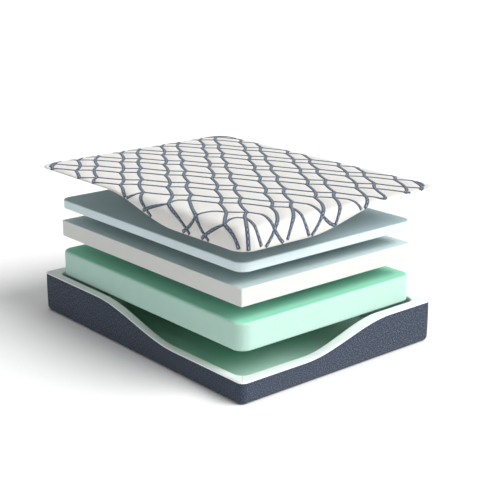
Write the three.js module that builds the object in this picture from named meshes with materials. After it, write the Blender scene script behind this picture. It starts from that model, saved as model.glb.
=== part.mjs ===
// A queen-size memory foam mattress taken apart in layers: a foam tray in a woven border with a
// wave-cut rim, three foam slabs floating above it, and a knit cover with a wave-cut skirt.
// Millimetres, +Z up. The origin is the middle of the footprint on the floor. +X runs across the
// width and +Y along the length, towards the head. The wave is cut low round the corner at -X -Y.
import * as THREE from "three";

// ---- overall sizes ----
const WIDTH = 1540; // across, X
const LENGTH = 2045; // head to foot, Y
const CORNER_R = 40; // plan radius of the tray's corners
const GAP = 0.35; // air between two pieces that touch in the real thing

// ---- the tray ----
const RIM_HIGH = 261; // top of the rim at the three high corners
const RIM_LOW = 133; // top of the rim round the low corner
const RIM_WAVE_LONG = [620, 1420]; // where the rim climbs on the long side, from the low corner
const RIM_WAVE_SHORT = [480, 1170]; // and on the short side
const SIDE_RAIL = 60; // thickness of the rails along the two long sides, border included
const END_RAIL = 80; // thickness of the rails at the head and the foot, border included
const WELL_R = 70; // plan radius of the tray's inner corners
const RIM_EDGE_R = 6; // rounding of the rim's two top edges
const BORDER_T = 5; // woven border and its backing
const FOOT_R = 30; // rounding of the border's bottom edge
const BOTTOM_T = 5; // bottom panel
const PAD_T = 14; // green foam pad on the floor of the tray
const PAD_EDGE_R = 2;
const PIPING_R = 3.5; // rim piping

// ---- the foam slabs: thickness, air below each, and how far each stays clear of the rails ----
const CORE_T = 170;
const CORE_LIFT = 239; // from the pad up to the core
const CORE_CLEAR = 14;
const CORE_R = 80;
const CORE_EDGE_R = 12;
const TRANSITION_T = 106;
const TRANSITION_LIFT = 95;
const TRANSITION_CLEAR = 29;
const TRANSITION_R = 6;
const TRANSITION_EDGE_R = 3;
const COMFORT_T = 58;
const COMFORT_LIFT = 88;
const COMFORT_CLEAR = 22;
const COMFORT_R = 70;
const COMFORT_EDGE_R = 8;

// ---- the cover ----
const COVER_R = 95; // plan radius of the cover's corners
const COVER_LIFT = 213; // from the comfort layer up to the cover's lining
const KNIT_T = 3;
const FILL_T = 5;
const BACKING_T = 1.5;
const CROWN = 9; // how much higher the panel is in the middle than at the shoulder
const SHOULDER_R = 52; // rounding from the panel into the skirt
const INNER_SHOULDER = 0.6; // how much of its depth each inner ply takes off that rounding
const TIP_SPARE = 0.6; // skirt left between panel and binding at the three shallow corners
const SKIRT_DEEP = 127; // depth of the skirt, binding included, round the deep corner
const HEM_WAVE_LONG = [600, 1250];
const HEM_WAVE_SHORT = [480, 1130];
const BINDING_H = 4;
const CORD_W = 12; // raised cords of the trellis
const CORD_H = 2.6;
const CORD_PITCH_X = 170; // from one knot of the trellis to the next
const CORD_PITCH_Y = 248;
const CORD_SEAT = 0.9; // air under a cord, so that a straight stretch clears the crowned knit
const CORD_BOW = 0.65; // how much a cord bows between two knots
const CORD_SHIFT_Y = -10; // the trellis sits a little towards the foot
const KNOT_REACH = [0.6, 0.9]; // half a knot across and along, as shares of a cord's width
const CORD_MARGIN = 40; // from the cover's edge to the outermost knots

// ---- levels ----
const PAD_BOTTOM = BOTTOM_T + GAP;
const PAD_TOP = PAD_BOTTOM + PAD_T;
const CORE_BOTTOM = PAD_TOP + CORE_LIFT;
const CORE_TOP = CORE_BOTTOM + CORE_T;
const TRANSITION_BOTTOM = CORE_TOP + TRANSITION_LIFT;
const TRANSITION_TOP = TRANSITION_BOTTOM + TRANSITION_T;
const COMFORT_BOTTOM = TRANSITION_TOP + COMFORT_LIFT;
const COMFORT_TOP = COMFORT_BOTTOM + COMFORT_T;
const SHELL_T = KNIT_T + FILL_T + BACKING_T + 2 * GAP;
const SKIRT_TIP = SHELL_T + BINDING_H + GAP + TIP_SPARE;
const PANEL_Z = COMFORT_TOP + COVER_LIFT + SHELL_T; // top of the knit at the shoulder

// ---- how finely the loops are cut: steps round a corner, along X and along Y ----
const ARC = 6;
const ALONG_X = 12;
const ALONG_Y = 16;
const SLAB_ALONG = 4;
const PIPING_SIDES = 8;

const smooth = (a, b, v) => {
  const t = Math.min(1, Math.max(0, (v - a) / (b - a)));
  return t * t * (3 - 2 * t);
};
// 0 round the low corner, 1 along the two far sides
const wave = (long, short, x, y) =>
  Math.max(smooth(short[0], short[1], x + WIDTH / 2), smooth(long[0], long[1], y + LENGTH / 2));
const rimTop = (x, y) => RIM_LOW + (RIM_HIGH - RIM_LOW) * wave(RIM_WAVE_LONG, RIM_WAVE_SHORT, x, y);
const hemZ = (x, y) =>
  PANEL_Z - SKIRT_DEEP + (SKIRT_DEEP - SKIRT_TIP) * wave(HEM_WAVE_LONG, HEM_WAVE_SHORT, x, y);

// ---- surfaces made of loops ----
// A loop of footprint stations, counter-clockwise from above: a point of the inner rectangle, the
// outward normal there and the point on the outer edge.
function stations(halfX, halfY, r, arc, alongX, alongY) {
  const cx = halfX - r,
    cy = halfY - r,
    out = [];
  const corner = [
    [cx, cy, 0],
    [-cx, cy, 90],
    [-cx, -cy, 180],
    [cx, -cy, 270],
  ];
  corner.forEach(([x, y, a0], k) => {
    for (let i = 0; i <= arc; i++) {
      const a = ((a0 + (90 * i) / arc) * Math.PI) / 180;
      out.push([x, y, Math.cos(a), Math.sin(a)]);
    }
    const [nx, ny] = corner[(k + 1) % 4];
    const n = k % 2 ? alongY : alongX;
    const a = ((a0 + 90) * Math.PI) / 180;
    for (let i = 1; i < n; i++) {
      const t = i / n;
      out.push([x + (nx - x) * t, y + (ny - y) * t, Math.round(Math.cos(a)), Math.round(Math.sin(a))]);
    }
  });
  return out.map(([x, y, nx, ny]) => ({ x, y, nx, ny, r, ex: x + nx * r, ey: y + ny * r }));
}
const inset = (s, d, z) => [s.x + s.nx * (s.r - d), s.y + s.ny * (s.r - d), z];

// Joins rings of equal length, each above or outside the one before, into a closed surface.
// A ring of one point is a pole; with ring = true the last ring joins the first. The first `under`
// joins cut their quads along the other diagonal, so that an inner face follows the outer one.
function surface(rings, ring = false, under = 0) {
  const pos = [],
    idx = [],
    start = [];
  for (const r of rings) {
    start.push(pos.length / 3);
    r.forEach((p) => pos.push(...p));
  }
  const join = (i, j) => {
    const a = rings[i],
      b = rings[j],
      n = Math.max(a.length, b.length);
    for (let k = 0; k < n; k++) {
      const l = (k + 1) % n;
      const a0 = start[i] + (a.length > 1 ? k : 0),
        a1 = start[i] + (a.length > 1 ? l : 0),
        b0 = start[j] + (b.length > 1 ? k : 0),
        b1 = start[j] + (b.length > 1 ? l : 0);
      if (i < under) {
        if (a.length > 1) idx.push(a0, a1, b0);
        if (b.length > 1) idx.push(a1, b1, b0);
      } else {
        if (a.length > 1) idx.push(a0, a1, b1);
        if (b.length > 1) idx.push(a0, b1, b0);
      }
    }
  };
  for (let i = 0; i + 1 < rings.length; i++) join(i, i + 1);
  if (ring) join(rings.length - 1, 0);
  return new THREE.BufferGeometry()
    .setAttribute("position", new THREE.Float32BufferAttribute(pos, 3))
    .setIndex(idx);
}

const material = (color, roughness) => new THREE.MeshStandardMaterial({ color, roughness });
const part = new THREE.Group();
part.name = "memory_foam_mattress";
const add = (name, geometry, mat) => {
  geometry.computeVertexNormals();
  const mesh = new THREE.Mesh(geometry, mat);
  mesh.name = name;
  part.add(mesh);
};

// ---- tray ----
const edge = stations(WIDTH / 2, LENGTH / 2, CORNER_R, ARC, ALONG_X, ALONG_Y);
const quarter = [0, 30, 60, 90].map((d) => (d * Math.PI) / 180);

// bottom panel: a flat sheet inside the border's turned-under edge
{
  if (CORNER_R - FOOT_R <= GAP)
    throw new Error("the corner radius must be larger than the border's bottom rounding");
  const low = edge.map((s) => inset(s, FOOT_R + GAP, 0));
  const high = edge.map((s) => inset(s, FOOT_R + GAP, BOTTOM_T));
  add("base_bottom_panel", surface([[[0, 0, 0]], low, high, [[0, 0, BOTTOM_T]]]), material(0x2b2f38, 0.9));
}

// border: up the outside from the turned-under bottom edge to the piping
const borderTop = (s) => rimTop(s.ex, s.ey) - 2 * PIPING_R - GAP;
{
  const rings = [];
  for (const a of quarter) rings.push(edge.map((s) => inset(s, FOOT_R * (1 - Math.sin(a)), FOOT_R * (1 - Math.cos(a)))));
  rings.push(edge.map((s) => inset(s, 0, borderTop(s))));
  rings.push(edge.map((s) => inset(s, BORDER_T, borderTop(s))));
  const innerR = FOOT_R - BORDER_T;
  for (const a of [...quarter].reverse())
    rings.push(
      edge.map((s) => inset(s, BORDER_T + innerR * (1 - Math.sin(a)), BORDER_T + innerR * (1 - Math.cos(a)))),
    );
  add("base_border_fabric", surface(rings, true), material(0x4d5769, 0.95));
}

// piping: a round cord on the border's top edge, following the wave
{
  const rings = [];
  for (let k = 0; k < PIPING_SIDES; k++) {
    const a = (2 * Math.PI * k) / PIPING_SIDES;
    rings.push(
      edge.map((s) => inset(s, PIPING_R - PIPING_R * Math.sin(a), rimTop(s.ex, s.ey) - PIPING_R - PIPING_R * Math.cos(a))),
    );
  }
  add("base_rim_piping", surface(rings, true), material(0xf2f4f1, 0.8));
}

// the four rails: the rim is a ring of foam cut at its corners
const wellX = WIDTH / 2 - SIDE_RAIL,
  wellY = LENGTH / 2 - END_RAIL;
{
  const well = stations(wellX, wellY, WELL_R, ARC, ALONG_X, ALONG_Y);
  const skin = BORDER_T + GAP;
  // one vertical cross-section of the ring at a station, from the bottom inner edge round the outside
  const section = (s, w) => {
    const top = rimTop(s.ex, s.ey);
    const [ox, oy] = inset(s, skin, 0);
    const dx = w.ex - ox,
      dy = w.ey - oy,
      l = Math.hypot(dx, dy);
    const near = (d, z) => inset(s, skin + d, z); // a distance in from the border
    const far = (d, z) => [w.ex - (dx / l) * d, w.ey - (dy / l) * d, z]; // and back from the well
    const shelf = 2 * PIPING_R - BORDER_T;
    const bevel = RIM_EDGE_R * 0.3; // the rounded edge, as two flats
    return [
      far(0, BOTTOM_T + GAP),
      near(FOOT_R, BOTTOM_T + GAP),
      near(0, FOOT_R + skin),
      near(0, top - 2 * PIPING_R - 2 * GAP),
      near(shelf, top - 2 * PIPING_R - 2 * GAP),
      near(shelf, top - bevel),
      near(shelf + bevel, top),
      far(RIM_EDGE_R, top),
      far(bevel, top - bevel),
      far(0, top - RIM_EDGE_R),
    ];
  };
  const all = edge.map((s, i) => section(s, well[i]));
  const n = edge.length;
  // the middle of each corner's arc, in order: head right, head left, foot left, foot right
  const mids = [];
  let at = 0;
  for (let k = 0; k < 4; k++) {
    mids.push(at + ARC / 2);
    at += ARC + (k % 2 ? ALONG_Y : ALONG_X);
  }
  ["base_rail_head", "base_rail_left", "base_rail_foot", "base_rail_right"].forEach((name, k) => {
    const from = mids[k],
      to = mids[(k + 1) % 4] + (k === 3 ? n : 0);
    const cuts = [];
    for (let i = from; i <= to; i++) cuts.push(all[i % n].map((p) => [...p]));
    // half of the glue line's width off each end, along the rail
    const shift = (cut, other) => {
      const dx = other[0][0] - cut[0][0],
        dy = other[0][1] - cut[0][1],
        l = Math.hypot(dx, dy);
      for (const p of cut) {
        p[0] += (dx / l) * GAP;
        p[1] += (dy / l) * GAP;
      }
    };
    shift(cuts[0], cuts[1]);
    shift(cuts[cuts.length - 1], cuts[cuts.length - 2]);
    const m = cuts[0].length,
      pos = cuts.flat(2),
      idx = [];
    for (let c = 0; c + 1 < cuts.length; c++)
      for (let j = 0; j < m; j++) {
        const a = c * m + j,
          b = c * m + ((j + 1) % m);
        idx.push(a, a + m, b + m, a, b + m, b);
      }
    const flat = cuts[0].map((p) => new THREE.Vector2(Math.hypot(p[0] - cuts[0][0][0], p[1] - cuts[0][0][1]), p[2]));
    const cap = THREE.ShapeUtils.triangulateShape(flat, []);
    const last = (cuts.length - 1) * m;
    const facing = Math.sign(THREE.ShapeUtils.area(flat));
    for (const [a, b, c] of cap) {
      // every end triangle runs the same way round as the section it closes
      const same = Math.sign(THREE.ShapeUtils.area([flat[a], flat[b], flat[c]])) === facing;
      const [p, q] = same ? [b, c] : [c, b];
      idx.push(a, p, q, last + a, last + q, last + p);
    }
    add(
      name,
      new THREE.BufferGeometry().setAttribute("position", new THREE.Float32BufferAttribute(pos, 3)).setIndex(idx),
      material(0xe3ebe8, 0.85),
    );
  });
}

// ---- foam slabs ----
function slab(halfX, halfY, r, edgeR, z0, z1, arc) {
  const st = stations(halfX, halfY, r, arc, SLAB_ALONG, SLAB_ALONG);
  const side = (a) => edgeR * (1 - Math.sin(a));
  const rise = (a) => edgeR * (1 - Math.cos(a));
  return surface([
    [[0, 0, z0]],
    ...quarter.map((a) => st.map((s) => inset(s, side(a), z0 + rise(a)))),
    ...[...quarter].reverse().map((a) => st.map((s) => inset(s, side(a), z1 - rise(a)))),
    [[0, 0, z1]],
  ]);
}
add(
  "base_foam_pad",
  slab(wellX - GAP, wellY - GAP, WELL_R, PAD_EDGE_R, PAD_BOTTOM, PAD_TOP, ARC),
  material(0x8fb8a6, 0.9),
);
add(
  "core_foam",
  slab(wellX - CORE_CLEAR, wellY - CORE_CLEAR, CORE_R, CORE_EDGE_R, CORE_BOTTOM, CORE_TOP, 8),
  material(0xa9dcc6, 0.85),
);
add(
  "transition_foam",
  slab(
    wellX - TRANSITION_CLEAR,
    wellY - TRANSITION_CLEAR,
    TRANSITION_R,
    TRANSITION_EDGE_R,
    TRANSITION_BOTTOM,
    TRANSITION_TOP,
    3,
  ),
  material(0xf1f1ed, 0.9),
);
add(
  "comfort_foam",
  slab(wellX - COMFORT_CLEAR, wellY - COMFORT_CLEAR, COMFORT_R, COMFORT_EDGE_R, COMFORT_BOTTOM, COMFORT_TOP, 8),
  material(0xbfd8e0, 0.85),
);

// ---- cover: three nested shells on one profile, and the binding under their hem ----
const rim = stations(WIDTH / 2, LENGTH / 2, COVER_R, ARC, ALONG_X, ALONG_Y);
const FLAT_FROM = SHOULDER_R + SHELL_T; // the panel starts this far in, at every depth
if (FLAT_FROM >= COVER_R) throw new Error("the cover's corner radius must be larger than its shoulder");
const panelScales = [0.92, 0.75, 0.5, 0.25];
const crown = (t) => CROWN * (1 - t * t) * (1 - t * t * 0.2);
// rings of the shell's surface at depth d under the knit's face, from the hem up to the middle
function shellRings(d, lowest) {
  const rings = [];
  const sr = SHOULDER_R - d * INNER_SHOULDER;
  const top = PANEL_Z - d;
  const drop = (s) => Math.min(sr, (top - hemZ(s.ex, s.ey) - lowest) * 0.9);
  rings.push(rim.map((s) => inset(s, d, hemZ(s.ex, s.ey) + lowest)));
  for (const a of quarter)
    rings.push(rim.map((s) => inset(s, d + sr * (1 - Math.cos(a)), top - drop(s) * (1 - Math.sin(a)))));
  const flat = rim.map((s) => inset(s, FLAT_FROM, 0));
  rings.push(flat.map((p) => [p[0], p[1], top + crown(1)]));
  for (const t of panelScales) rings.push(flat.map((p) => [p[0] * t, p[1] * t, top + crown(t)]));
  rings.push([[0, 0, top + crown(0)]]);
  return rings;
}
const shell = (outer, inner, low) => {
  const o = shellRings(outer, low),
    i = shellRings(inner, low);
  return surface([...i.reverse(), ...o], false, i.length - 1);
};
const LOW = BINDING_H + GAP;
const fillAt = KNIT_T + GAP,
  backAt = fillAt + FILL_T + GAP;
add("cover_knit", shell(0, KNIT_T, LOW), material(0xefedea, 0.95));
add("cover_fill", shell(fillAt, fillAt + FILL_T, LOW), material(0xf7f7f5, 1));
add("cover_backing", shell(backAt, backAt + BACKING_T, LOW), material(0xe4e6e6, 0.9));
{
  const ringAt = (d, z) => rim.map((s) => inset(s, d, hemZ(s.ex, s.ey) + z));
  add(
    "cover_hem_binding",
    surface([ringAt(SHELL_T, 0), ringAt(0, 0), ringAt(0, BINDING_H), ringAt(SHELL_T, BINDING_H)], true),
    material(0xe7e4df, 0.9),
  );
}

// trellis of cords on the panel: knots on a grid, cords bowed between them, two families crossing
{
  const limX = WIDTH / 2 - CORD_MARGIN,
    limY = LENGTH / 2 - CORD_MARGIN;
  const topZ = (x, y) => {
    // height of the knit's face under a point of the panel
    const fx = Math.abs(x) / (WIDTH / 2 - FLAT_FROM),
      fy = Math.abs(y) / (LENGTH / 2 - FLAT_FROM);
    return PANEL_Z + crown(Math.min(1, Math.max(fx, fy)));
  };
  // Crossings lie on half-pitch columns. On an even column they are the knots; on an odd column
  // each is raised or lowered by the bow.
  const hx = CORD_PITCH_X / 2,
    hy = CORD_PITCH_Y / 2;
  const nx = Math.floor(limX / hx),
    ny = Math.floor(limY / hy);
  const point = (i, j) => {
    const y = CORD_SHIFT_Y + j * hy;
    if (i % 2 === 0) return [i * hx, y];
    const k = (i - 1) / 2 + (j - 1) / 2;
    return [i * hx, y + (k % 2 === 0 ? 1 : -1) * CORD_BOW * hy * 0.5];
  };
  const has = (i, j) => Math.abs(i) <= nx && Math.abs(j) <= ny && (i + j) % 2 === 0;
  const pos = [],
    idx = [];
  const hubs = new Map();
  const put = (x, y, h) => {
    pos.push(x, y, topZ(x, y) + CORD_SEAT + h);
    return pos.length / 3 - 1;
  };
  for (let i = -nx; i <= nx; i++)
    for (let j = -ny; j <= ny; j++) {
      if (!has(i, j)) continue;
      const [x, y] = point(i, j);
      const a = CORD_W * KNOT_REACH[0],
        b = CORD_W * KNOT_REACH[1];
      const at = [
        [x + a, y],
        [x, y + b],
        [x - a, y],
        [x, y - b],
      ];
      hubs.set(i + "," + j, {
        top: at.map(([u, v]) => put(u, v, CORD_H)),
        low: at.map(([u, v]) => put(u, v, 0)),
      });
    }
  // arms, counter-clockwise: up right, up left, down left, down right
  const arms = [
    [1, 1],
    [-1, 1],
    [-1, -1],
    [1, -1],
  ];
  for (const [key, hub] of hubs) {
    const [i, j] = key.split(",").map(Number);
    idx.push(hub.top[0], hub.top[1], hub.top[2], hub.top[0], hub.top[2], hub.top[3]);
    idx.push(hub.low[0], hub.low[2], hub.low[1], hub.low[0], hub.low[3], hub.low[2]);
    arms.forEach(([di, dj], k) => {
      const p = k,
        q = (k + 1) % 4;
      const next = hubs.get(i + di + "," + (j + dj));
      if (!next) {
        idx.push(hub.top[p], hub.low[p], hub.low[q], hub.top[p], hub.low[q], hub.top[q]);
        return;
      }
      if (dj < 0) return;
      // this hub's edge p-q meets the far hub's edge r-s, opposite it
      const r = (p + 3) % 4,
        s = (q + 1) % 4;
      idx.push(hub.top[p], next.top[r], next.top[s], hub.top[p], next.top[s], hub.top[q]);
      idx.push(hub.low[p], next.low[s], next.low[r], hub.low[p], hub.low[q], next.low[s]);
      idx.push(hub.low[p], next.low[r], next.top[r], hub.low[p], next.top[r], hub.top[p]);
      idx.push(hub.low[q], next.top[s], next.low[s], hub.low[q], hub.top[q], next.top[s]);
    });
  }
  add(
    "cover_cord_trellis",
    new THREE.BufferGeometry().setAttribute("position", new THREE.Float32BufferAttribute(pos, 3)).setIndex(idx),
    material(0x51617a, 0.8),
  );
}

export default part;
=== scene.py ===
"""Looks of the memory foam mattress shown taken apart: the woven tray with its wave-cut foam rim,
three foam slabs and the quilted knit cover with its raised cords. Metres, in the CAD's frame."""
import math

import bpy
import numpy as np
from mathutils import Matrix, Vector, kdtree, noise


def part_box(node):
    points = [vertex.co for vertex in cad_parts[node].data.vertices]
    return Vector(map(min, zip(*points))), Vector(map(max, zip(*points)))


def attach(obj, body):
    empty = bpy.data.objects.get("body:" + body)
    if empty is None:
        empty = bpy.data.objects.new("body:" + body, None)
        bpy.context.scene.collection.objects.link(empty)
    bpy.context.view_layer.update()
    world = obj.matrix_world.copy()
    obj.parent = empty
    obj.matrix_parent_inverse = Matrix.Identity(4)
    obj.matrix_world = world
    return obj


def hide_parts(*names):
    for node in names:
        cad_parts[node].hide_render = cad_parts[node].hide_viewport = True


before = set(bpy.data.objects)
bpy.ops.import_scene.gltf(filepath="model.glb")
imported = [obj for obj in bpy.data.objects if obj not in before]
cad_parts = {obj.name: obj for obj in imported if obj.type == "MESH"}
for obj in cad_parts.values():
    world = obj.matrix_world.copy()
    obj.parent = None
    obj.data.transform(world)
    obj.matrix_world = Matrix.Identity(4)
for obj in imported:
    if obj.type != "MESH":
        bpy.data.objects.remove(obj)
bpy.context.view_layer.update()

# ---- camera: a long lens over the low corner of the rim ----
CAMERA_AZIMUTH = math.radians(-40.17)
CAMERA_PITCH = math.radians(16.62)
CAMERA_DISTANCE = 7.363
CAMERA_TARGET = Vector((0.079, 0.0, 0.553))
LENS_MM = 86.0

# ---- sizes that the CAD's boxes don't give ----
TRAY_CORNER_R = 0.040
PIPING_R = 0.0035
RIM_WAVE_LONG = (0.620, 1.420)
RIM_WAVE_SHORT = (0.480, 1.170)
WELL_R = 0.070
FOOT_R = 0.030
PAD_EDGE_R = 0.002
CORE_R = 0.080
CORE_EDGE_R = 0.016
TRANSITION_R = 0.008
TRANSITION_EDGE_R = 0.004
COMFORT_R = 0.072
COMFORT_EDGE_R = 0.009
HEM_WAVE_LONG = (0.600, 1.250)
HEM_WAVE_SHORT = (0.480, 1.130)
COVER_R = 0.095
SHOULDER_R = 0.052
COVER_T = 0.0052
BINDING_H = 0.004
JOINT_GAP = 0.0003

# ---- the cord trellis: knots on a flat grid, the sheet they lie on folded over the low corner ----
KNOT_X = 0.1696
KNOT_Y = 0.2465
CORD_BOW = 0.676
TRELLIS_ORIGIN = (-0.004, -0.024)
SHEET_R = 0.205
FOLD_R = 0.052
FOLD_IN = (0.095, 0.136)
FOLD_STRETCH = (1.14, 1.22)
FOLD_WAVE_LONG = (0.573, 1.223)
FOLD_WAVE_SHORT = (0.511, 1.161)
FOLD_POWER = 0.79
# the direction towards the camera made below: drape() carries the cords along this line of sight
LINE_OF_SIGHT = Vector((-0.618, -0.732, 0.286))
CORD_HALF_W = 0.0108
CORD_HALF_H = 0.0036
CORD_STEP = 0.009
QUILT_PUFF = 0.0055
QUILT_SINK = 0.003

# =====================================================================================
# meshes
# =====================================================================================
class Shape:
    """Gathers grids of points into one mesh."""

    def __init__(self):
        self.points = []
        self.faces = []
        self.uvs = []
        self.slots = []
        self.count = 0

    def _add_points(self, points):
        first = self.count
        self.points.append(np.asarray(points, float).reshape(-1, 3))
        self.count += len(self.points[-1])
        return first

    def _add_faces(self, faces, uvs, slot):
        self.faces.extend(faces)
        self.uvs.extend(uvs)
        self.slots.extend([slot] * len(faces))

    def grid(self, points, uv, wrap_rows=False, wrap_cols=True, slot=0, cap_rows=False):
        """points is rows x columns x 3. Columns run counter-clockwise seen from above and rows
        run outwards or upwards. uv has one more row or column where the grid wraps."""
        points = np.asarray(points, float)
        rows, cols = points.shape[:2]
        first = self._add_points(points)
        ids = first + np.arange(rows * cols).reshape(rows, cols)
        r = np.arange(rows if wrap_rows else rows - 1)[:, None]
        c = np.arange(cols if wrap_cols else cols - 1)[None, :]
        r2 = (r + 1) % rows
        c2 = (c + 1) % cols
        quads = np.stack([ids[r, c], ids[r, c2], ids[r2, c2], ids[r2, c]], -1).reshape(-1, 4)
        flat = np.stack([uv[r, c], uv[r, c + 1], uv[r + 1, c + 1], uv[r + 1, c]], -2)
        self._add_faces(quads.tolist(), flat.reshape(-1, 4, 2).tolist(), slot)
        if cap_rows:
            low = ids[0][::-1].tolist()
            high = ids[-1].tolist()
            self._add_faces([low, high], [[[0, 0]] * cols] * 2, slot)
        return ids

    def fan(self, ring, ring_uv, centre, centre_uv, upward, slot=0):
        """Closes a ring of point ids with a point in its middle."""
        middle = self._add_points([centre])
        n = len(ring)
        for k in range(n):
            l = (k + 1) % n
            corner = [ring[k], ring[l], middle] if upward else [ring[l], ring[k], middle]
            ends = (ring_uv[k], ring_uv[l]) if upward else (ring_uv[l], ring_uv[k])
            self._add_faces([corner], [[list(ends[0]), list(ends[1]), list(centre_uv)]], slot)

    def make(self, name, materials, body, stands_for=()):
        mesh = bpy.data.meshes.new(name)
        mesh.from_pydata(np.concatenate(self.points).tolist(), [], self.faces)
        layer = mesh.uv_layers.new(name="UVMap")
        flat = [x for face in self.uvs for corner in face for x in corner]
        layer.data.foreach_set("uv", flat)
        mesh.polygons.foreach_set("use_smooth", [True] * len(mesh.polygons))
        mesh.polygons.foreach_set("material_index", self.slots)
        for m in materials:
            mesh.materials.append(m)
        mesh.update()
        piece = bpy.data.objects.new(name, mesh)
        bpy.context.scene.collection.objects.link(piece)
        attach(piece, body)
        if stands_for:
            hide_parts(*stands_for)
        return piece


class Loop:
    """Stations round a rounded rectangle, counter-clockwise from above: each has a corner or
    edge point of the inner rectangle, an outward normal and a distance along the outline."""

    def __init__(self, half_x, half_y, radius, arc=12, step=0.03):
        a, b = half_x - radius, half_y - radius
        self.radius = radius
        base, normal = [], []
        corners = [(a, b), (-a, b), (-a, -b), (a, -b)]
        for k, (x, y) in enumerate(corners):
            for i in range(arc + 1):
                angle = math.radians(90 * k + 90 * i / arc)
                base.append((x, y))
                normal.append((math.cos(angle), math.sin(angle)))
            nx, ny = corners[(k + 1) % 4]
            n = max(1, round(math.hypot(nx - x, ny - y) / step))
            angle = math.radians(90 * k + 90)
            for i in range(1, n):
                base.append((x + (nx - x) * i / n, y + (ny - y) * i / n))
                normal.append((math.cos(angle), math.sin(angle)))
        self.base = np.array(base)
        self.normal = np.array(normal)
        self.edge = self.base + self.normal * radius
        steps = np.hypot(*(np.roll(self.edge, -1, 0) - self.edge).T)
        self.along = np.concatenate([[0], np.cumsum(steps)])

    def at(self, inset, z):
        """The outline moved in by inset, at height z; both may differ from station to station."""
        inset = np.broadcast_to(inset, len(self.base))
        flat = self.base + self.normal * (self.radius - inset)[:, None]
        return np.column_stack([flat, np.broadcast_to(z, len(flat))])

    def uv(self, rings):
        """Distance along the outline and distance up the profile, for a wrapped grid."""
        rings = np.asarray(rings)
        steps = np.linalg.norm(np.diff(rings, axis=0), axis=2).mean(1)
        up = np.concatenate([[0], np.cumsum(steps)])
        up = np.append(up, up[-1] + 0.01)
        return np.stack(np.meshgrid(self.along, up), -1)


def ease(low, high, value):
    t = np.clip((value - low) / (high - low), 0, 1)
    return t * t * (3 - 2 * t)


def wobble(points, size, height, seed=0.0):
    """Smooth noise of the given feature size and height at each point."""
    shift = Vector((seed, seed * 1.7, -seed))
    return np.array([height * noise.noise(Vector(p) / size + shift) for p in points])


# =====================================================================================
# materials
# =====================================================================================
class Nodes:
    """Short calls for building one material's node tree."""

    def __init__(self, name):
        self.material = bpy.data.materials.new(name)
        self.material.use_nodes = True
        self.tree = self.material.node_tree
        self.shader = self.tree.nodes["Principled BSDF"]

    def new(self, kind, **settings):
        node = self.tree.nodes.new(kind)
        for key, value in settings.items():
            setattr(node, key, value)
        return node

    def feed(self, socket, value):
        if isinstance(value, bpy.types.NodeSocket):
            self.tree.links.new(value, socket)
        else:
            socket.default_value = value

    def math(self, operation, a, b=0.0):
        node = self.new("ShaderNodeMath", operation=operation)
        self.feed(node.inputs[0], a)
        self.feed(node.inputs[1], b)
        return node.outputs[0]

    def place(self, scale, source="Object"):
        """Texture coordinates in metres, scaled on each axis."""
        coordinates = self.new("ShaderNodeTexCoord").outputs[source]
        node = self.new("ShaderNodeMapping")
        self.feed(node.inputs["Vector"], coordinates)
        node.inputs["Scale"].default_value = scale
        return node.outputs[0]

    def noise(self, vector, scale, detail=3.0, roughness=0.55):
        node = self.new("ShaderNodeTexNoise")
        self.feed(node.inputs["Vector"], vector)
        node.inputs["Scale"].default_value = scale
        node.inputs["Detail"].default_value = detail
        node.inputs["Roughness"].default_value = roughness
        return node.outputs["Fac"]

    def pores(self, vector, scale):
        node = self.new("ShaderNodeTexVoronoi")
        self.feed(node.inputs["Vector"], vector)
        node.inputs["Scale"].default_value = scale
        return node.outputs["Distance"]

    def ramp(self, value, stops):
        node = self.new("ShaderNodeValToRGB")
        self.feed(node.inputs[0], value)
        points = node.color_ramp.elements
        while len(points) < len(stops):
            points.new(1.0)
        for point, (at, color) in zip(points, stops):
            point.position = at
            point.color = (*color, 1.0)
        return node.outputs[0]

    def mix(self, factor, a, b, blend="MIX"):
        node = self.new("ShaderNodeMix", data_type="RGBA", blend_type=blend)
        self.feed(node.inputs[0], factor)
        self.feed(node.inputs[6], a)
        self.feed(node.inputs[7], b)
        return node.outputs[2]

    def span(self, value, low, high):
        """A value from 0 to 1 moved to run from low to high."""
        node = self.new("ShaderNodeMapRange")
        self.feed(node.inputs["Value"], value)
        node.inputs["To Min"].default_value = low
        node.inputs["To Max"].default_value = high
        return node.outputs[0]

    def bump(self, height, strength, distance, under=None):
        node = self.new("ShaderNodeBump")
        self.feed(node.inputs["Height"], height)
        node.inputs["Strength"].default_value = strength
        node.inputs["Distance"].default_value = distance
        if under is not None:
            self.feed(node.inputs["Normal"], under)
        return node.outputs[0]

    def finish(self, color, roughness, normal, **sockets):
        self.feed(self.shader.inputs["Base Color"], color)
        self.feed(self.shader.inputs["Roughness"], roughness)
        self.feed(self.shader.inputs["Normal"], normal)
        for key, value in sockets.items():
            self.shader.inputs[key.replace("_", " ")].default_value = value
        return self.material


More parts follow.
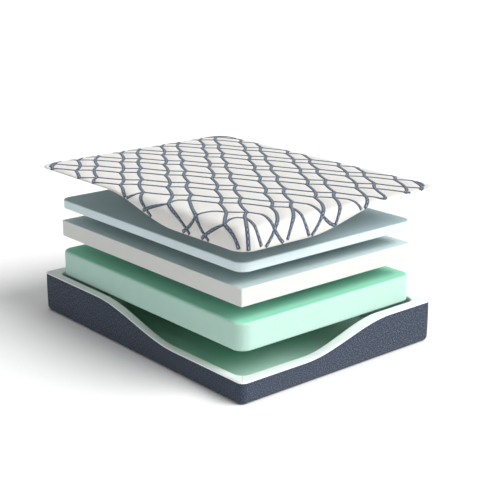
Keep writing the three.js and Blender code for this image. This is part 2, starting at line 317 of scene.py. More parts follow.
def foam_with_painted_flat_faces(name, side, top, deep, glow):
    """Open-cell foam: fine pores, faint cloudiness and a little light inside it. The flat faces take
    the top colour as painted light, a painted bounce tint or painted shade from the parts around
    them, and the cut sides the side colour; deep darkens the clouds and the pores."""
    n = Nodes(name)
    where = n.place((1, 1, 1))
    cloud = n.noise(where, 9.0, 4.0)
    grain = n.noise(where, 260.0, 3.0, 0.7)
    cells = n.pores(where, 420.0)
    turn = n.new("ShaderNodeSeparateXYZ")
    n.feed(turn.inputs[0], n.new("ShaderNodeTexCoord").outputs["Normal"])
    # painted light: the flatter a face, the more it takes the top colour, a painted bounce tint or
    # painted shade
    level = n.math("ABSOLUTE", turn.outputs[2])
    flat = n.span(n.math("POWER", level, 3.0), 0.0, 1.0)
    color = n.mix(flat, (*side, 1), (*top, 1))
    dark = n.mix(1.0, color, (deep, deep, deep, 1), "MULTIPLY")
    color = n.mix(n.span(cloud, 0.0, 0.6), color, dark)
    color = n.mix(n.span(cells, 0.30, 0.0), color, dark)
    normal = n.bump(cells, 0.45, 0.0016)
    normal = n.bump(grain, 0.4, 0.002, normal)
    return n.finish(
        color,
        n.span(grain, 0.78, 0.95),
        normal,
        Subsurface_Weight=glow,
        Subsurface_Radius=(1.0, 1.0, 0.95),
        Subsurface_Scale=0.02,
        Specular_IOR_Level=0.25,
        Sheen_Weight=0.08,
        Sheen_Roughness=0.6,
    )


def threads(n, u, v, pitch):
    """A plain weave from thread coordinates: height, and which thread is on top."""
    across = n.math("MULTIPLY", u, math.pi / pitch)
    up = n.math("MULTIPLY", v, math.pi / pitch)
    warp = n.math("ABSOLUTE", n.math("SINE", across))
    weft = n.math("ABSOLUTE", n.math("SINE", up))
    turn = n.math("MULTIPLY", n.math("SINE", across), n.math("SINE", up))
    top = n.math("GREATER_THAN", turn, 0.0)
    one = n.math("MULTIPLY", warp, top)
    other = n.math("MULTIPLY", weft, n.math("SUBTRACT", 1.0, top))
    return n.math("ADD", one, other), top


def split_uv(n):
    node = n.new("ShaderNodeSeparateXYZ")
    n.feed(node.inputs[0], n.new("ShaderNodeTexCoord").outputs["UV"])
    return node.outputs[0], node.outputs[1]


def border_material():
    """Navy heather upholstery cloth: mixed dark and pale yarns in a plain weave."""
    n = Nodes("border_heather")
    u, v = split_uv(n)
    height, top = threads(n, u, v, 0.0042)
    warp_yarn = n.noise(n.place((240, 60, 1), "UV"), 1.0, 2.0)
    weft_yarn = n.noise(n.place((60, 240, 1), "UV"), 1.0, 2.0)
    fleck = n.noise(n.place((1, 1, 1), "UV"), 120.0, 2.0, 0.6)
    yarn = n.mix(top, weft_yarn, warp_yarn)
    blend = n.math("ADD", n.math("MULTIPLY", yarn, 0.35), n.math("MULTIPLY", fleck, 0.65))
    color = n.ramp(
        blend,
        [
            (0.41, (0.018, 0.026, 0.045)),
            (0.48, (0.034, 0.048, 0.080)),
            (0.53, (0.060, 0.080, 0.120)),
            (0.61, (0.135, 0.165, 0.220)),
        ],
    )
    # painted shade: the hollows between the threads are darkened towards near-black navy
    painted_hollow_shade = n.math("MULTIPLY", n.math("SUBTRACT", 1.0, height), 0.5)
    color = n.mix(painted_hollow_shade, color, (0.014, 0.020, 0.036, 1))
    normal = n.bump(height, 0.6, 0.0016)
    normal = n.bump(fleck, 0.35, 0.003, normal)
    return n.finish(color, 0.92, normal, Sheen_Weight=0.12, Sheen_Roughness=0.5, Specular_IOR_Level=0.2)


def knit_height(n, u, v, wide, tall):
    """Columns of V stitches: wide and tall are one stitch's size."""
    column = n.math("FRACT", n.math("DIVIDE", u, wide))
    side = n.math("MULTIPLY", n.math("ABSOLUTE", n.math("SUBTRACT", column, 0.5)), 2.0)
    phase = n.math("ADD", n.math("DIVIDE", v, tall), n.math("MULTIPLY", side, 0.6))
    loops = n.math("SINE", n.math("MULTIPLY", phase, 2 * math.pi))
    from_middle = n.math("ABSOLUTE", n.math("SUBTRACT", n.math("MULTIPLY", side, 2.0), 1.0))
    leg = n.math("SUBTRACT", 1.0, from_middle)
    return n.math("MULTIPLY", n.math("ADD", n.math("MULTIPLY", loops, 0.5), 0.5), leg)


def knit_material(name, light, shade, wide=0.0120, tall=0.0115):
    n = Nodes(name)
    u, v = split_uv(n)
    height = knit_height(n, u, v, wide, tall)
    where = n.place((1, 1, 1))
    fuzz = n.noise(where, 240.0, 3.0, 0.7)
    lumps = n.noise(where, 85.0, 2.0, 0.6)
    cloud = n.noise(where, 7.0, 3.0)
    color = n.mix(n.span(height, 0.80, 0.0), (*light, 1), (*shade, 1))
    color = n.mix(n.span(lumps, 0.0, 0.15), color, (*shade, 1))
    color = n.mix(n.span(cloud, 0.0, 0.05), color, (*shade, 1))
    normal = n.bump(height, 0.75, 0.0042)
    normal = n.bump(lumps, 0.45, 0.004, normal)
    normal = n.bump(fuzz, 0.2, 0.001, normal)
    return n.finish(
        color, 0.9, normal, Sheen_Weight=0.15, Sheen_Roughness=0.55, Specular_IOR_Level=0.2
    )


def cord_with_painted_edge_shade():
    """A flat braid of navy yarn: two dark plies that cross and recross over a paler core. Towards
    the cord's two side edges the colour darkens as painted shade where the cord meets the quilt.
    """
    n = Nodes("cord_yarn")
    u, v = split_uv(n)
    across = n.math("COSINE", n.math("MULTIPLY", v, 2 * math.pi))
    swing = n.math("MULTIPLY", n.math("SINE", n.math("MULTIPLY", u, 2 * math.pi / 0.066)), 0.78)
    one = n.math("ABSOLUTE", n.math("SUBTRACT", across, swing))
    other = n.math("ABSOLUTE", n.math("ADD", across, swing))
    gap = n.new("ShaderNodeMapRange", interpolation_type="SMOOTHSTEP")
    n.feed(gap.inputs["Value"], n.math("MINIMUM", one, other))
    gap.inputs["From Min"].default_value = 0.12
    gap.inputs["From Max"].default_value = 0.45
    # painted shade: the colour darkens towards the cord's two side edges; the pale core between the
    # plies is the braid's pattern
    edge = n.new("ShaderNodeMapRange", interpolation_type="SMOOTHSTEP")
    n.feed(edge.inputs["Value"], n.math("ABSOLUTE", across))
    edge.inputs["From Min"].default_value = 0.97
    edge.inputs["From Max"].default_value = 0.70
    pale = n.math("MULTIPLY", gap.outputs[0], edge.outputs[0])
    fibre = n.noise(n.place((1, 1, 1)), 420.0, 3.0, 0.7)
    tone = n.noise(n.place((1, 1, 1)), 60.0, 3.0)
    color = n.mix(pale, (0.012, 0.022, 0.045, 1), (0.260, 0.320, 0.400, 1))
    color = n.mix(n.span(tone, 0.0, 0.20), color, (0.020, 0.034, 0.062, 1))
    color = n.mix(n.span(fibre, 0.0, 0.20), color, (0.020, 0.032, 0.058, 1))
    normal = n.bump(pale, 0.5, -0.0014)
    normal = n.bump(fibre, 0.3, 0.0008, normal)
    return n.finish(color, 0.8, normal, Sheen_Weight=0.15, Sheen_Roughness=0.45, Specular_IOR_Level=0.25)


def tape_material(name, light, shade, pitch=0.0016):
    """Fine woven tape or cloth."""
    n = Nodes(name)
    u, v = split_uv(n)
    height, _ = threads(n, u, v, pitch)
    fuzz = n.noise(n.place((1, 1, 1)), 300.0, 3.0, 0.7)
    color = n.mix(n.span(height, 0.5, 0.0), (*light, 1), (*shade, 1))
    normal = n.bump(height, 0.4, 0.0006)
    normal = n.bump(fuzz, 0.2, 0.0008, normal)
    return n.finish(color, 0.9, normal, Sheen_Weight=0.1, Specular_IOR_Level=0.2)


BORDER = border_material()
PIPING = tape_material("piping_cloth", (0.92, 0.93, 0.92), (0.76, 0.79, 0.78))
PANEL = tape_material("bottom_cloth", (0.030, 0.034, 0.042), (0.012, 0.014, 0.020), 0.003)
# each foam's second colour is painted light on its flat faces: painted light on the rail crests and pad
# floor, painted green bounce on the core, painted blue-green bounce on the white slab, painted shade on
# the blue slab under the cover
RIM_FOAM = foam_with_painted_flat_faces("rim_foam", (0.68, 0.77, 0.74), (0.78, 0.83, 0.81), 0.85, 0.1)
PAD_FOAM = foam_with_painted_flat_faces("pad_foam", (0.50, 0.82, 0.68), (0.66, 0.94, 0.83), 0.86, 0.05)
CORE_FOAM = foam_with_painted_flat_faces("core_foam_green", (0.49, 0.72, 0.63), (0.29, 0.70, 0.50), 0.86, 0.2)
TRANSITION_FOAM = foam_with_painted_flat_faces(
    "transition_foam_white", (0.70, 0.71, 0.68), (0.62, 0.74, 0.74), 0.90, 0.08
)
COMFORT_FOAM = foam_with_painted_flat_faces("comfort_foam_blue", (0.68, 0.80, 0.83), (0.42, 0.55, 0.57), 0.90, 0.12)
KNIT = knit_material("cover_knit_white", (1.0, 0.985, 0.955), (0.68, 0.665, 0.635))
LINING = tape_material("cover_lining", (0.62, 0.64, 0.65), (0.48, 0.50, 0.52))
BINDING = tape_material("hem_tape", (0.80, 0.79, 0.76), (0.66, 0.65, 0.62))
CORD = cord_with_painted_edge_shade()

# =====================================================================================
# the tray
# =====================================================================================
tray_low, tray_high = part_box("base_border_fabric")
HALF_W, HALF_L = tray_high.x, tray_high.y
RIM_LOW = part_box("base_rim_piping")[0].z + 2 * PIPING_R
RIM_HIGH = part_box("base_rail_head")[1].z


def rim_top(x, y):
    climb = np.maximum(ease(*RIM_WAVE_SHORT, x + HALF_W), ease(*RIM_WAVE_LONG, y + HALF_L))
    return RIM_LOW + (RIM_HIGH - RIM_LOW) * climb


TRAY_ARC = 16
TRAY_STEP = 0.02
SIDE_COUNTS = [
    round(2 * (half - TRAY_CORNER_R) / TRAY_STEP) for half in (HALF_W, HALF_L, HALF_W, HALF_L)
]
TRAY = Loop(HALF_W, HALF_L, TRAY_CORNER_R, arc=TRAY_ARC, step=TRAY_STEP)
TRAY_TOP = rim_top(*TRAY.edge.T)
QUARTER = np.radians([0, 11.25, 22.5, 33.75, 45, 56.25, 67.5, 78.75, 90])


def make_border():
    """The woven skin, turned under at the foot, with the faint fullness of cloth over foam."""
    top = TRAY_TOP - 2 * PIPING_R - 0.0004
    thick = 0.004
    rings = []
    for a in QUARTER:
        rings.append(TRAY.at(FOOT_R * (1 - math.sin(a)), FOOT_R * (1 - math.cos(a))))
    for t in np.linspace(0, 1, 14)[1:]:
        z = FOOT_R + (top - FOOT_R) * t
        full = 0.0022 * math.sin(math.pi * min(1, t * 1.02)) ** 0.7 if t < 0.98 else 0
        points = TRAY.at(0, z)
        swell = full * (0.75 + wobble(points, 0.16, 0.5, 3.1))
        rings.append(TRAY.at(-swell, z))
    rings.append(TRAY.at(thick, top))
    for a in QUARTER[::-2]:
        r = FOOT_R - thick
        rings.append(TRAY.at(thick + r * (1 - math.sin(a)), thick + r * (1 - math.cos(a))))
    shape = Shape()
    shape.grid(rings, TRAY.uv(rings), wrap_rows=True)
    skin = shape.make("border_skin", [BORDER], "tray", ["base_border_fabric"])
    return skin


def make_piping():
    rings = []
    for a in np.linspace(0, 2 * math.pi, 12, endpoint=False):
        rings.append(
            TRAY.at(PIPING_R - PIPING_R * math.sin(a), TRAY_TOP - PIPING_R - PIPING_R * math.cos(a))
        )
    shape = Shape()
    shape.grid(rings, TRAY.uv(rings), wrap_rows=True)
    return shape.make("rim_piping", [PIPING], "tray", ["base_rim_piping"])


def make_bottom():
    low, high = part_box("base_bottom_panel")
    loop = Loop(high.x, high.y, TRAY_CORNER_R - FOOT_R, arc=8, step=0.1)
    rings = [loop.at(0.02, low.z), loop.at(0.0005, low.z), loop.at(0, low.z + 0.0005)]
    rings += [loop.at(0, high.z - 0.001), loop.at(0.02, high.z)]
    uv = np.append(rings, [rings[-1]], 0)
    uv = np.append(uv, uv[:, :1], 1)[..., :2]
    shape = Shape()
    ids = shape.grid(rings, uv)
    shape.fan(ids[0], uv[0], (0, 0, low.z), (0, 0), upward=False)
    shape.fan(ids[-1], uv[4], (0, 0, high.z), (0, 0), upward=True)
    panel = shape.make("bottom_panel", [PANEL], "tray", ["base_bottom_panel"])
    return panel


def make_rails():
    """Four foam rails, cut at the corners, each swept from one corner's middle to the next."""
    pad_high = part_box("base_foam_pad")[1]
    inner = np.concatenate([well_side(k, pad_high) for k in range(4)])
    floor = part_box("base_rail_head")[0].z
    skin = 0.0055
    outer = TRAY.at(skin, 0)[:, :2]
    across = inner - outer
    across /= np.linalg.norm(across, axis=1)[:, None]

    def near(d, z):
        return np.column_stack([TRAY.at(skin + d, 0)[:, :2], np.broadcast_to(z, len(outer))])

    def far(d, z):
        return np.column_stack([inner - across * d, np.broadcast_to(z, len(outer))])

    shelf = 0.0022
    crest = TRAY_TOP
    section = [
        far(0, floor),
        near(FOOT_R, floor),
        near(0, FOOT_R + floor),
        near(0, crest - 0.0078),
        near(shelf, crest - 0.0076),
        near(shelf, crest - 0.003),
        near(shelf + 0.0012, crest - 0.0008),
        near(shelf + 0.004, crest + 0.0002),
        near(shelf + 0.014, crest + 0.001),
    ]
    for t in (0.35, 0.6, 0.85):
        a = near(shelf + 0.014, crest + 0.001)
        b = far(0.014, crest + 0.0006)
        line = a + (b - a) * t
        line[:, 2] += wobble(line, 0.09, 0.0006, 5.0)
        section.append(line)
    edge_r = 0.012
    for a in np.radians([0, 22.5, 45, 67.5, 90]):
        section.append(far(edge_r * (1 - math.sin(a)), crest - edge_r * (1 - math.cos(a))))
    for t in (0.25, 0.5, 0.75):
        section.append(far(0, (crest - edge_r) * (1 - t) + floor * t))
    section = np.array(section).transpose(1, 0, 2)  # stations x profile
    starts = []
    at = 0
    for count in SIDE_COUNTS:
        starts.append(at + TRAY_ARC // 2)
        at += TRAY_ARC + count
    for k, name in enumerate(("head", "left", "foot", "right")):
        stop = starts[(k + 1) % 4] + (len(section) if k == 3 else 0)
        cut = section[np.arange(starts[k], stop + 1) % len(section)].copy()
        for end, inward in ((0, 1), (-1, -2)):
            push = cut[inward] - cut[end]
            push[:, 2] = 0
            cut[end] += push / np.linalg.norm(push, axis=1)[:, None] * JOINT_GAP
        rows = cut[:, ::-1]
        shape = Shape()
        uv = np.zeros((rows.shape[0], rows.shape[1] + 1, 2))
        shape.grid(rows, uv, wrap_cols=True, cap_rows=True)
        piece = shape.make(f"rail_{name}", [RIM_FOAM], "tray", [f"base_rail_{name}"])


def well_side(k, half):
    """Stations of the well's corner k and the side after it, as many as the tray's outline has."""
    a, b = half.x + JOINT_GAP - WELL_R, half.y + JOINT_GAP - WELL_R
    corners = [(a, b), (-a, b), (-a, -b), (a, -b)]
    x, y = corners[k]
    nx, ny = corners[(k + 1) % 4]
    angles = np.radians(90 * k + np.linspace(0, 90, TRAY_ARC + 1))
    arc = np.column_stack([x + WELL_R * np.cos(angles), y + WELL_R * np.sin(angles)])
    n = SIDE_COUNTS[k]
    t = (np.arange(1, n) / n)[:, None]
    side = arc[-1] + (np.array([nx - x, ny - y]) * t)
    return np.concatenate([arc, side])


PLATE_SINK = 0.0012  # how far a slab's flat faces lie inside its box, so that their waver stays in it


def slab(name, node, radius, edge_r, material, body, seed):
    """A foam slab inside its CAD solid's box: softened edges and the slight waver of cut foam."""
    low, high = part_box(node)
    loop = Loop(high.x, high.y, radius, arc=16, step=0.03)
    rings = []
    plan = loop.at(edge_r, 0)[:, :2]

    def plate(scale, z):
        points = np.column_stack([plan * scale, np.full(len(plan), z)])
        points[:, 2] += wobble(points, 0.35, 0.0012, seed)
        return points

    for scale in (0.02, 0.3, 0.6, 0.85, 0.96, 0.99):
        rings.append(plate(scale, low.z + PLATE_SINK))
    for a in QUARTER:
        rings.append(loop.at(edge_r * (1 - math.sin(a)), low.z + edge_r * (1 - math.cos(a))))
    for t in np.linspace(0, 1, 8)[1:-1]:
        z = low.z + edge_r + (high.z - low.z - 2 * edge_r) * t
        waver = 0.0004 + wobble(loop.at(0, z), 0.12, 0.0008, seed)
        rings.append(loop.at(waver, z))
    for a in QUARTER[::-1]:
        rings.append(loop.at(edge_r * (1 - math.sin(a)), high.z - edge_r * (1 - math.cos(a))))
    for scale in (0.99, 0.96, 0.85, 0.6, 0.3, 0.02):
        rings.append(plate(scale, high.z - PLATE_SINK))
    shape = Shape()
    uv = loop.uv(rings)
    ids = shape.grid(rings, uv)
    shape.fan(ids[0], uv[0], rings[0].mean(0), (0, 0), upward=False)
    shape.fan(ids[-1], uv[0], rings[-1].mean(0), (0, 0), upward=True)
    piece = shape.make(name, [material], body, [node])
    return piece


make_border()
make_piping()
make_bottom()
make_rails()
slab("floor_pad", "base_foam_pad", WELL_R, PAD_EDGE_R, PAD_FOAM, "tray", 1.0)
slab("core_slab", "core_foam", CORE_R, CORE_EDGE_R, CORE_FOAM, "core", 2.0)
slab(
    "transition_slab",
    "transition_foam",
    TRANSITION_R,
    TRANSITION_EDGE_R,
    TRANSITION_FOAM,
    "transition",
    4.0,
)
slab(
    "comfort_slab", "comfort_foam", COMFORT_R, COMFORT_EDGE_R, COMFORT_FOAM, "comfort", 6.0
)

# =====================================================================================
# the cover
# =====================================================================================
knit_low, knit_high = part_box("cover_knit")
COVER_HALF_W, COVER_HALF_L = knit_high.x, knit_high.y
CROWN = 0.009
PANEL_Z = knit_high.z - CROWN
HEM_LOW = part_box("cover_hem_binding")[0].z
HEM_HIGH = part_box("cover_hem_binding")[1].z - BINDING_H


def hem_z(x, y):
    climb = np.maximum(
        ease(*HEM_WAVE_SHORT, x + COVER_HALF_W), ease(*HEM_WAVE_LONG, y + COVER_HALF_L)
    )
    return HEM_LOW + (HEM_HIGH - HEM_LOW) * climb


def around_cover(flat, radius):
    """The point of the inner rectangle nearest each flat point, how far past it the point lies and
    the outward direction, for an outline with the given corner radius."""
    a, b = COVER_HALF_W - radius, COVER_HALF_L - radius
    base = np.column_stack([np.clip(flat[:, 0], -a, a), np.clip(flat[:, 1], -b, b)])
    away = flat[:, :2] - base
    reach = np.linalg.norm(away, axis=1)
    return base, reach, away / np.maximum(reach, 1e-9)[:, None]


def crown(flat):
    """How much higher than the shoulder the panel is at each flat point."""
    across = np.abs(flat[:, 0]) / (COVER_HALF_W - SHOULDER_R)
    along = np.abs(flat[:, 1]) / (COVER_HALF_L - SHOULDER_R)
    return CROWN * (1 - np.clip(np.maximum(across, along), 0, 1) ** 3)


def skirt_depth(base, side):
    edge = base + side * COVER_R
    return PANEL_Z - hem_z(*edge.T) - BINDING_H


def cover_surface(flat, depth=0.0):
    """Points at a depth under the cover's face, over flat pattern coordinates, and the normals
    there. The pattern lies flat on the panel, then runs over the shoulder and down the skirt."""
    base, reach, side = around_cover(flat, COVER_R)
    fold = COVER_R - SHOULDER_R
    over = np.maximum(reach - fold, 0)
    drop = np.minimum(SHOULDER_R, skirt_depth(base, side) * 0.92)
    angle = np.minimum(over / SHOULDER_R, math.pi / 2)
    down = np.maximum(over - SHOULDER_R * math.pi / 2, 0)
    out = np.minimum(reach, fold) + SHOULDER_R * np.sin(angle)
    z = PANEL_Z - QUILT_SINK + crown(flat) - drop * (1 - np.cos(angle)) - down
    tilt = drop * np.sin(angle)
    normal = np.column_stack([side * tilt[:, None], SHOULDER_R * np.cos(angle) + 1e-9])
    normal /= np.linalg.norm(normal, axis=1)[:, None]
    points = np.column_stack([base + side * out[:, None], z])
    return points - normal * np.broadcast_to(depth, len(points))[:, None], normal


def cover_face(points):
    """The height of the cover's face over each point's plan position, and the normal there."""
    base, reach, side = around_cover(points, COVER_R)
    deep = skirt_depth(base, side)
    drop = np.minimum(SHOULDER_R, deep * 0.92)
    past = np.clip((reach - COVER_R + SHOULDER_R) / SHOULDER_R, 0, 1)
    level = np.sqrt(1 - past**2)
    z = PANEL_Z - QUILT_SINK + crown(points) - drop * (1 - level)
    normal = np.column_stack([side * (drop * past)[:, None], SHOULDER_R * level + 1e-9])
    normal /= np.linalg.norm(normal, axis=1)[:, None]
    return z, normal, reach, side, PANEL_Z - deep


def folded_sheet(flat):
    """The flat trellis folded down over the low corner, before the cover fills it out."""
    base, reach, side = around_cover(flat, SHEET_R)
    edge = base + side * SHEET_R
    climb = np.maximum(
        ease(*FOLD_WAVE_SHORT, edge[:, 0] + COVER_HALF_W),
        ease(*FOLD_WAVE_LONG, edge[:, 1] + COVER_HALF_L),
    )
    low = (1 - climb) ** FOLD_POWER
    share = side[:, 0] ** 2
    fold = SHEET_R - FOLD_R - (FOLD_IN[1] + (FOLD_IN[0] - FOLD_IN[1]) * share) * low
    stretch = 1 + (FOLD_STRETCH[1] - 1 + (FOLD_STRETCH[0] - FOLD_STRETCH[1]) * share) * low
    over = np.maximum(reach - fold, 0) * stretch
    drop = np.minimum(FOLD_R, 0.0097 + 0.45 * low)
    angle = np.minimum(over / FOLD_R, math.pi / 2)
    down = np.maximum(over - FOLD_R * math.pi / 2, 0)
    out = np.minimum(reach, fold) + FOLD_R * np.sin(angle)
    z = PANEL_Z - QUILT_SINK + crown(flat) - drop * (1 - np.cos(angle)) - down
    near = (side @ np.array(LINE_OF_SIGHT.xy) > 0.2) | (low > 0.02)
    return np.column_stack([base + side * out[:, None], z]), near


def drape(flat):
    """Flat trellis points carried onto the cover's face: each moves from the folded sheet along
    the camera's line of sight until it meets the face. So the cords lie right from that camera,
    and on the two low skirts lean when seen from elsewhere: their true lie there isn't known.
    Returns points, normals and which are on the face."""
    start, near = folded_sheet(flat)
    way = np.where(near[:, None], np.array(LINE_OF_SIGHT), np.array((0.0, 0.0, 1.0)))
    low, high = np.full(len(start), -0.04), np.full(len(start), 0.40)
    for _ in range(26):
        middle = (low + high) / 2
        at = start + way * middle[:, None]
        z, _, reach, _, _ = cover_face(at)
        inside = (at[:, 2] < z) & (reach < COVER_R)
        low = np.where(inside, middle, low)
        high = np.where(inside, high, middle)
    at = start + way * low[:, None]
    z, normal, reach, side, hem = cover_face(at)
    skirt = at[:, 2] < z - 0.001
    normal = np.where(skirt[:, None], np.column_stack([side, np.zeros(len(side))]), normal)
    on = (at[:, 2] > hem + 0.002) & (np.abs(at[:, 0]) < COVER_HALF_W) & (np.abs(at[:, 1]) < COVER_HALF_L)
    on &= near | (reach < COVER_R - 0.003)
    return at, normal, on


def skirt_length(loop):
    """How far the pattern runs past the fold before it meets the binding, at each station."""
    deep = skirt_depth(loop.base, loop.normal)
    return SHOULDER_R * math.pi / 2 + deep - np.minimum(SHOULDER_R, deep * 0.92)


def strand(column, row, slope, knots, steps):
    """Flat points of one cord from the knot at (column, row), rising or falling a row at each
    column. Alternate knots hold the steep end of the bow."""
    out = []
    for k in range(knots):
        t = np.arange(steps) / steps
        steep = 1 if (column + k + row + slope * k) % 2 == 0 else -1
        x = KNOT_X * (column + k + t)
        y = KNOT_Y * (row + slope * k) + slope * KNOT_Y * (t + steep * CORD_BOW * t * (1 - t))
        out.append(np.column_stack([x, y]))
    return np.concatenate(out) + np.array(TRELLIS_ORIGIN)


def even_steps(points, normals, step):
    """A path resampled so that its points lie evenly along it."""
    gaps = np.linalg.norm(np.diff(points, axis=0), axis=1)
    run = np.concatenate([[0], np.cumsum(gaps)])
    at = np.linspace(0, run[-1], max(2, round(run[-1] / step)))
    path = np.column_stack([np.interp(at, run, points[:, k]) for k in range(3)])
    facing = np.column_stack([np.interp(at, run, normals[:, k]) for k in range(3)])
    return path, facing / np.linalg.norm(facing, axis=1)[:, None], at


def all_cords():
    """Every cord that lies on the cover, as slope, points and normals along it."""
    reach = 7
    found = []
    for slope in (1, -1):
        for first in range(-3 * reach, 3 * reach + 1):
            flat = strand(-reach, slope * (-reach - first), slope, 2 * reach + 1, 40)
            points, normals, on = drape(flat)
            breaks = np.flatnonzero(np.diff(on.astype(int))) + 1
            for run in np.split(np.arange(len(flat)), breaks):
                if on[run[0]] and len(run) > 4:
                    path, facing, _ = even_steps(points[run], normals[run], CORD_STEP)
                    found.append((slope, path, facing))
    return found


CORDS = all_cords()
SEAMS = kdtree.KDTree(sum(len(path) for _, path, _ in CORDS))
for index, point in enumerate(np.concatenate([path for _, path, _ in CORDS])):
    SEAMS.insert(point, index)
SEAMS.balance()


def puff(points):
    """How far the quilt swells between the cords."""
    gap = np.array([SEAMS.find(point)[2] for point in points])
    return QUILT_PUFF * (1 - np.exp(-((gap / 0.026) ** 2)))


def make_cover():
    loop = Loop(COVER_HALF_W, COVER_HALF_L, COVER_R, arc=14, step=0.0125)
    fold = COVER_R - SHOULDER_R
    length = skirt_length(loop)
    flats = []
    for t in np.linspace(1, 0, 14):
        flats.append(loop.base + loop.normal * (fold + length * t)[:, None])
    inner = flats[-1]
    for scale in np.linspace(1, 0.02, 62)[1:]:
        flats.append(inner * scale)
    outer = []
    for k, flat in enumerate(flats):
        face = cover_surface(flat)[0]
        outer.append(cover_surface(flat, -puff(face) * min(1, k / 3))[0])
    under_flats = flats[::4] + [flats[-1]]
    under = [cover_surface(flat, COVER_T)[0] for flat in under_flats]
    rings = under[::-1] + outer
    uv = np.array(under_flats[::-1] + flats)
    uv = np.append(uv, uv[:, :1], 1)
    shape = Shape()
    ids = shape.grid(rings, uv)
    shape.fan(ids[0], uv[0], rings[0].mean(0), (0, 0), upward=False)
    shape.fan(ids[-1], uv[-1], rings[-1].mean(0), (0, 0), upward=True)
    piece = shape.make("cover_quilt", [KNIT], "cover", ["cover_knit", "cover_fill"])
    return piece


def make_lining():
    loop = Loop(COVER_HALF_W, COVER_HALF_L, COVER_R, arc=14, step=0.03)
    fold = COVER_R - SHOULDER_R
    length = skirt_length(loop)
    flats = [loop.base + loop.normal * (fold + length * t)[:, None] for t in np.linspace(1, 0, 10)]
    flats += [flats[-1] * scale for scale in (0.95, 0.8, 0.6, 0.4, 0.2, 0.02)]
    face = [cover_surface(f, COVER_T + 0.0004)[0] for f in flats]
    back = [cover_surface(f, COVER_T + 0.0018)[0] for f in flats]
    rings = back[::-1] + face
    uv = np.array(flats[::-1] + flats)
    uv = np.append(uv, uv[:, :1], 1)
    shape = Shape()
    ids = shape.grid(rings, uv)
    shape.fan(ids[0], uv[0], rings[0].mean(0), (0, 0), upward=False)
    shape.fan(ids[-1], uv[-1], rings[-1].mean(0), (0, 0), upward=True)
    lining = shape.make("cover_lining", [LINING], "cover", ["cover_backing"])
    return lining


def make_binding():
    """A folded tape round the hem: a flattened tube under the cover's edge."""
    loop = Loop(COVER_HALF_W, COVER_HALF_L, COVER_R, arc=14, step=0.02)
    hem = hem_z(*loop.edge.T)
    middle = (COVER_T + 0.002) / 2
    rings = []
    for a in np.linspace(0, 2 * math.pi, 12, endpoint=False):
        x = math.copysign(abs(math.sin(a)) ** 0.7, math.sin(a))
        y = math.copysign(abs(math.cos(a)) ** 0.7, math.cos(a))
        rings.append(loop.at(middle - (middle + 0.0006) * x, hem + BINDING_H / 2 - BINDING_H / 2 * y))
    shape = Shape()
    shape.grid(rings, loop.uv(rings), wrap_rows=True)
    return shape.make("hem_binding", [BINDING], "cover", ["cover_hem_binding"])


def make_cords():
    """Raised yarn cords: a flat oval section swept along each strand, one family over the other."""
    shape = Shape()
    sides = 10
    around = 2 * math.pi * np.arange(sides) / sides
    for slope, centre, normal in CORDS:
        centre = centre + normal * (0.0014 if slope > 0 else 0.0006)
        along = np.gradient(centre, axis=0)
        along /= np.linalg.norm(along, axis=1)[:, None]
        across = np.cross(normal, along)
        across /= np.linalg.norm(across, axis=1)[:, None]
        gaps = np.linalg.norm(np.diff(centre, axis=0), axis=1)
        run = np.concatenate([[0], np.cumsum(gaps)])
        grid = (
            centre[:, None]
            + across[:, None] * (CORD_HALF_W * np.cos(around))[None, :, None]
            + normal[:, None] * (CORD_HALF_H * np.sin(around))[None, :, None]
        )
        turn = (sides - 1 - np.arange(sides + 1)) / sides
        run = np.append(run, run[-1])
        uv = np.stack(np.broadcast_arrays(run[:, None], turn[None, :]), -1)
        shape.grid(grid[:, ::-1], uv, wrap_cols=True, cap_rows=True)
    return shape.make("cover_cords", [CORD], "cover", ["cover_cord_trellis"])


make_cover()
make_lining()
make_binding()
make_cords()


# =====================================================================================
# floor, light and camera
# =====================================================================================
FLOOR_HALF = 120.0
FLOOR_Z = -0.0005

# the sky's brightness, and the heights where it changes, as the sine of the angle over the horizon
BACKDROP = 0.85
BAND_LEFT = 0.03
BAND_RIGHT = 0.35
OVERHEAD = 0.62
BACKDROP_TOP = 0.19
BAND_FROM = 0.30
BAND_TOP = 0.35
OVERHEAD_FROM = 0.80
KEY_TOWARDS = (0.36, -0.64, 0.72)
KEY_STRENGTH = 3.5
KEY_ANGLE = 0.75


def floor_material():
    n = Nodes("studio_floor")
    cloud = n.noise(n.place((1, 1, 1)), 3.0, 2.0)
    color = n.mix(n.span(cloud, 0.0, 0.03), (0.88, 0.88, 0.88, 1), (0.82, 0.82, 0.82, 1))
    normal = n.bump(cloud, 0.02, 0.001)
    return n.finish(color, 0.9, normal, Specular_IOR_Level=0.0)


def make_floor():
    mesh = bpy.data.meshes.new("floor")
    r, z = FLOOR_HALF, FLOOR_Z
    mesh.from_pydata([(-r, -r, z), (r, -r, z), (r, r, z), (-r, r, z)], [], [(0, 1, 2, 3)])
    mesh.materials.append(floor_material())
    floor = bpy.data.objects.new("floor", mesh)
    bpy.context.scene.collection.objects.link(floor)


def make_sun(name, towards, strength, width):
    """A distant soft light that shines from the direction `towards`."""
    light = bpy.data.lights.new(name, "SUN")
    light.energy = strength
    light.angle = width
    lamp = bpy.data.objects.new(name, light)
    lamp.rotation_euler = Vector(towards).to_track_quat("Z", "Y").to_euler()
    bpy.context.scene.collection.objects.link(lamp)


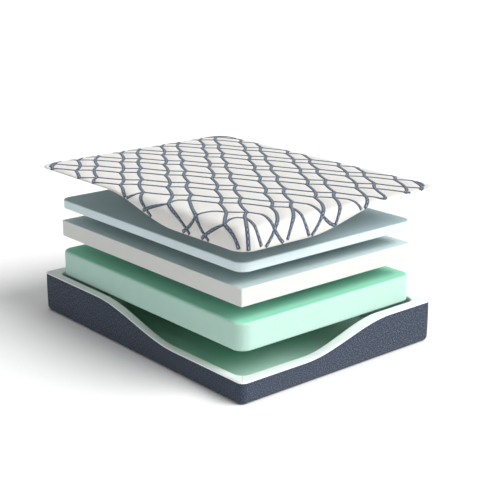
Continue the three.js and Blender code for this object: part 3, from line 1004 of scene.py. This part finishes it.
def make_world():
    """A pale backdrop round the horizon, a dim band over it and a wide soft light overhead. The
    band is dimmest on the left, so that the faces turned that way fall into shade."""
    world = bpy.data.worlds.new("studio")
    world.use_nodes = True
    tree = world.node_tree
    towards = tree.nodes.new("ShaderNodeSeparateXYZ")
    tree.links.new(tree.nodes.new("ShaderNodeTexCoord").outputs["Generated"], towards.inputs[0])
    right = tree.nodes.new("ShaderNodeMapRange")
    tree.links.new(towards.outputs[0], right.inputs["Value"])
    right.inputs["From Min"].default_value = -1.0
    right.inputs["To Min"].default_value = BAND_LEFT
    right.inputs["To Max"].default_value = BAND_RIGHT
    high = tree.nodes.new("ShaderNodeMapRange")
    high.interpolation_type = "SMOOTHSTEP"
    tree.links.new(towards.outputs[2], high.inputs["Value"])
    high.inputs["From Min"].default_value = BAND_TOP
    high.inputs["From Max"].default_value = OVERHEAD_FROM
    tree.links.new(right.outputs[0], high.inputs["To Min"])
    high.inputs["To Max"].default_value = OVERHEAD
    low = tree.nodes.new("ShaderNodeMapRange")
    low.interpolation_type = "SMOOTHSTEP"
    tree.links.new(towards.outputs[2], low.inputs["Value"])
    low.inputs["From Min"].default_value = BACKDROP_TOP
    low.inputs["From Max"].default_value = BAND_FROM
    low.inputs["To Min"].default_value = BACKDROP
    tree.links.new(high.outputs[0], low.inputs["To Max"])
    sky = tree.nodes["Background"]
    sky.inputs["Color"].default_value = (1, 1, 1, 1)
    tree.links.new(low.outputs[0], sky.inputs["Strength"])
    bpy.context.scene.world = world


def make_camera():
    data = bpy.data.cameras.new("camera")
    data.lens = LENS_MM
    data.sensor_width = 36.0
    data.clip_end = 500.0
    camera = bpy.data.objects.new("camera", data)
    back = Vector(
        (
            math.sin(CAMERA_AZIMUTH) * math.cos(CAMERA_PITCH),
            -math.cos(CAMERA_AZIMUTH) * math.cos(CAMERA_PITCH),
            math.sin(CAMERA_PITCH),
        )
    )
    camera.location = CAMERA_TARGET + back * CAMERA_DISTANCE
    camera.rotation_euler = back.to_track_quat("Z", "Y").to_euler()
    bpy.context.scene.collection.objects.link(camera)
    bpy.context.scene.camera = camera


make_floor()
make_world()
make_sun("key", KEY_TOWARDS, KEY_STRENGTH, KEY_ANGLE)
make_camera()
bpy.context.scene.view_settings.view_transform = "Standard"
